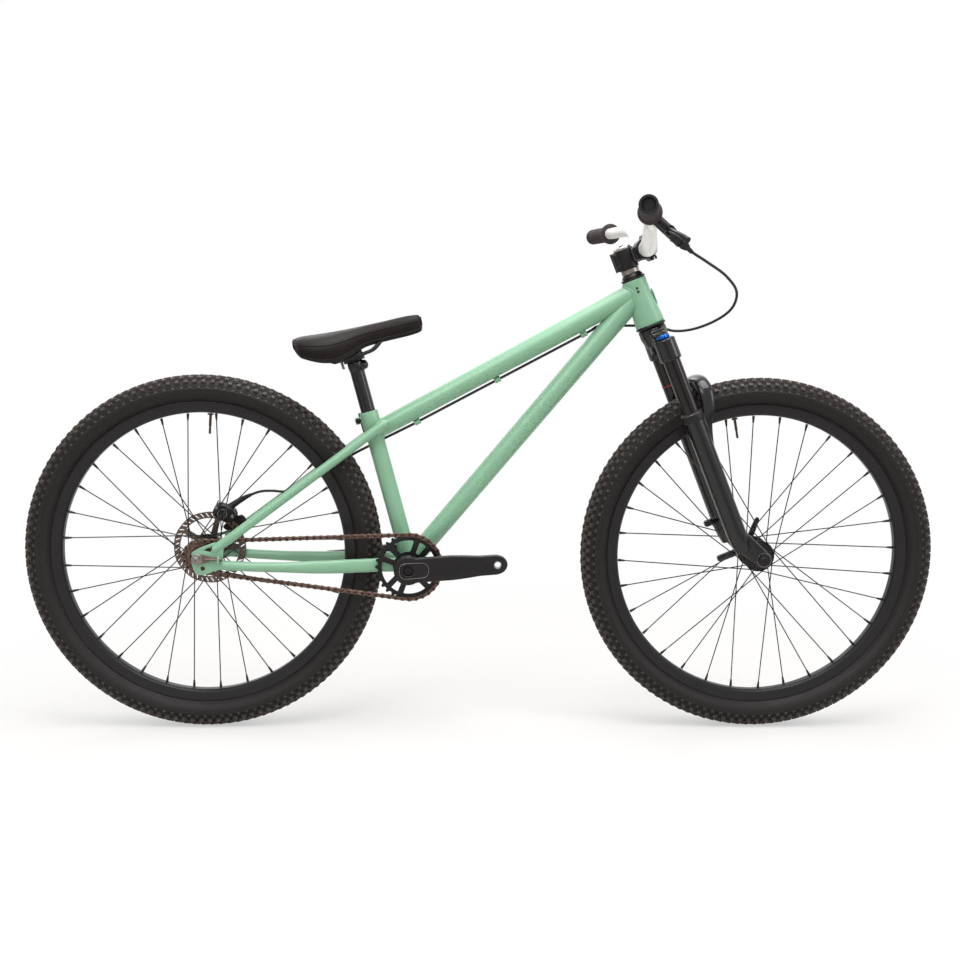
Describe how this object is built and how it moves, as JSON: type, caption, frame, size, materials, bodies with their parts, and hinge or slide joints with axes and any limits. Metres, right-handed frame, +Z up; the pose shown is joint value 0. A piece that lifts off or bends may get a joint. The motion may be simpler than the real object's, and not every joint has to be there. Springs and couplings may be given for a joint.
{
  "type": "dirt jump bike",
  "caption": "Hardtail dirt jump bike with mint frame, black suspension fork, single chainring and sprocket, rear disc brake and low saddle.",
  "frame": {"origin": "on the floor, midway between the wheels in length and in the middle plane of the bike", "axes": "+X towards the front wheel, +Y to the rider's left, +Z up"},
  "size_m": [1.7204, 0.78, 0.9737],
  "materials": {
    "mint_paint": "gloss",
    "tyre_rubber": "matte",
    "grip_rubber": "matte",
    "saddle_cover": "satin",
    "black_plastic": "matte",
    "hose_cover": "satin",
    "bare_steel": "satin",
    "chain_steel": "satin",
    "bar_silver": "satin",
    "blue_anodised": "satin",
    "dark_anodised": "polished",
    "gloss_black_paint": "gloss",
    "black_steel": "satin",
    "satin_black_metal": "satin"
  },
  "bodies": {
    "frame": {"head_tube": "mint_paint", "top_tube": "mint_paint", "down_tube": "mint_paint", "seat_tube": "mint_paint", "bottom_bracket_shell": "mint_paint", "seat_clamp_bolt": "satin_black_metal", "bottom_bracket_cup_right": "satin_black_metal", "chainstay_right": "mint_paint", "seatstay_right": "mint_paint", "dropout_right": "mint_paint", "chain_tensioner_right": "bare_steel", "bottom_bracket_cup_left": "satin_black_metal", "chainstay_left": "mint_paint", "seatstay_left": "mint_paint", "dropout_left": "mint_paint", "chain_tensioner_left": "bare_steel", "rear_axle": "bare_steel", "headset_upper_cup": "satin_black_metal", "headset_lower_cup": "satin_black_metal", "brake_caliper": "satin_black_metal", "brake_hose_frame_run": "hose_cover", "chain": "chain_steel"},
    "steering": {"fork_crown": "gloss_black_paint", "stanchion_right": "dark_anodised", "stanchion_left": "dark_anodised", "headset_spacer": "satin_black_metal", "stem_body": "satin_black_metal", "stem_faceplate": "satin_black_metal", "handlebar": "bar_silver", "grip_right": "grip_rubber", "grip_left": "grip_rubber", "brake_lever_body": "satin_black_metal", "brake_hose_loop": "hose_cover"},
    "knob": {"compression_knob": "blue_anodised"},
    "lever_blade": {"brake_lever_blade": "satin_black_metal"},
    "lowers": {"fork_lowers": "gloss_black_paint", "front_axle": "satin_black_metal"},
    "axle_lever": {"front_axle_lever": "satin_black_metal"},
    "front_wheel": {"front_tyre": "tyre_rubber", "front_rim": "satin_black_metal", "front_hub": "satin_black_metal", "front_spokes_right": "black_steel", "front_spokes_left": "black_steel", "front_valve": "satin_black_metal"},
    "rear_wheel": {"rear_tyre": "tyre_rubber", "rear_rim": "satin_black_metal", "rear_hub": "satin_black_metal", "rear_spokes_right": "black_steel", "rear_spokes_left": "black_steel", "rear_valve": "satin_black_metal", "brake_rotor": "bare_steel"},
    "sprocket": {"rear_sprocket": "bare_steel"},
    "crank": {"crank_arm_right": "gloss_black_paint", "chainring": "satin_black_metal", "crank_arm_left": "gloss_black_paint"},
    "seat": {"seatpost": "satin_black_metal", "saddle_clamp": "satin_black_metal", "saddle_rails": "bare_steel", "saddle_shell": "black_plastic", "saddle_pad": "saddle_cover"}
  },
  "joints": [
    {"name": "steering", "type": "hinge", "parent": "frame", "child": "steering", "pos_m": [0.313, 0, 0.7671], "axis": [-0.374, 0, 0.9274], "range_deg": [-80, 80], "deforming": ["brake_hose_loop"]},
    {"name": "fork_travel", "type": "slide", "parent": "steering", "child": "lowers", "axis": [-0.374, 0, 0.9274], "range_m": [0, 0.1], "stiffness_N_per_m": 8000, "springref_m": -0.02},
    {"name": "compression_knob_turn", "type": "hinge", "parent": "steering", "child": "knob", "pos_m": [0.32727, -0.062, 0.74374], "axis": [-0.374, 0, 0.9274], "range_deg": [0, 270]},
    {"name": "brake_lever_pull", "type": "hinge", "parent": "steering", "child": "lever_blade", "pos_m": [0.30091, -0.25583, 0.92459], "axis": [-0.6267, 0.0913, -0.7739], "range_deg": [0, 20], "stiffness_Nm_per_rad": 1, "springref_deg": -11.46},
    {"name": "front_axle_lever_swing", "type": "hinge", "parent": "lowers", "child": "axle_lever", "pos_m": [0.52425, 0.0769, 0.336], "axis": [0, 1, 0], "range_deg": [0, 150]},
    {"name": "front_wheel_spin", "type": "hinge", "parent": "lowers", "child": "front_wheel", "pos_m": [0.52425, 0, 0.336], "axis": [0, 1, 0], "continuous": true},
    {"name": "rear_wheel_spin", "type": "hinge", "parent": "frame", "child": "rear_wheel", "pos_m": [-0.52425, 0, 0.336], "axis": [0, 1, 0], "continuous": true},
    {"name": "crank_spin", "type": "hinge", "parent": "frame", "child": "crank", "pos_m": [-0.1367, 0, 0.3174], "axis": [0, 1, 0], "continuous": true},
    {"name": "sprocket_spin", "type": "hinge", "parent": "frame", "child": "sprocket", "pos_m": [-0.52425, 0, 0.336], "axis": [0, 1, 0], "continuous": true},
    {"name": "seatpost_height", "type": "slide", "parent": "frame", "child": "seat", "axis": [-0.2605, 0, 0.9655], "range_m": [-0.06, 0.03]}
  ],
  "couplings": [
    {"joint": "sprocket_spin", "follows": "crank_spin", "ratio": 2.1429}
  ]
}
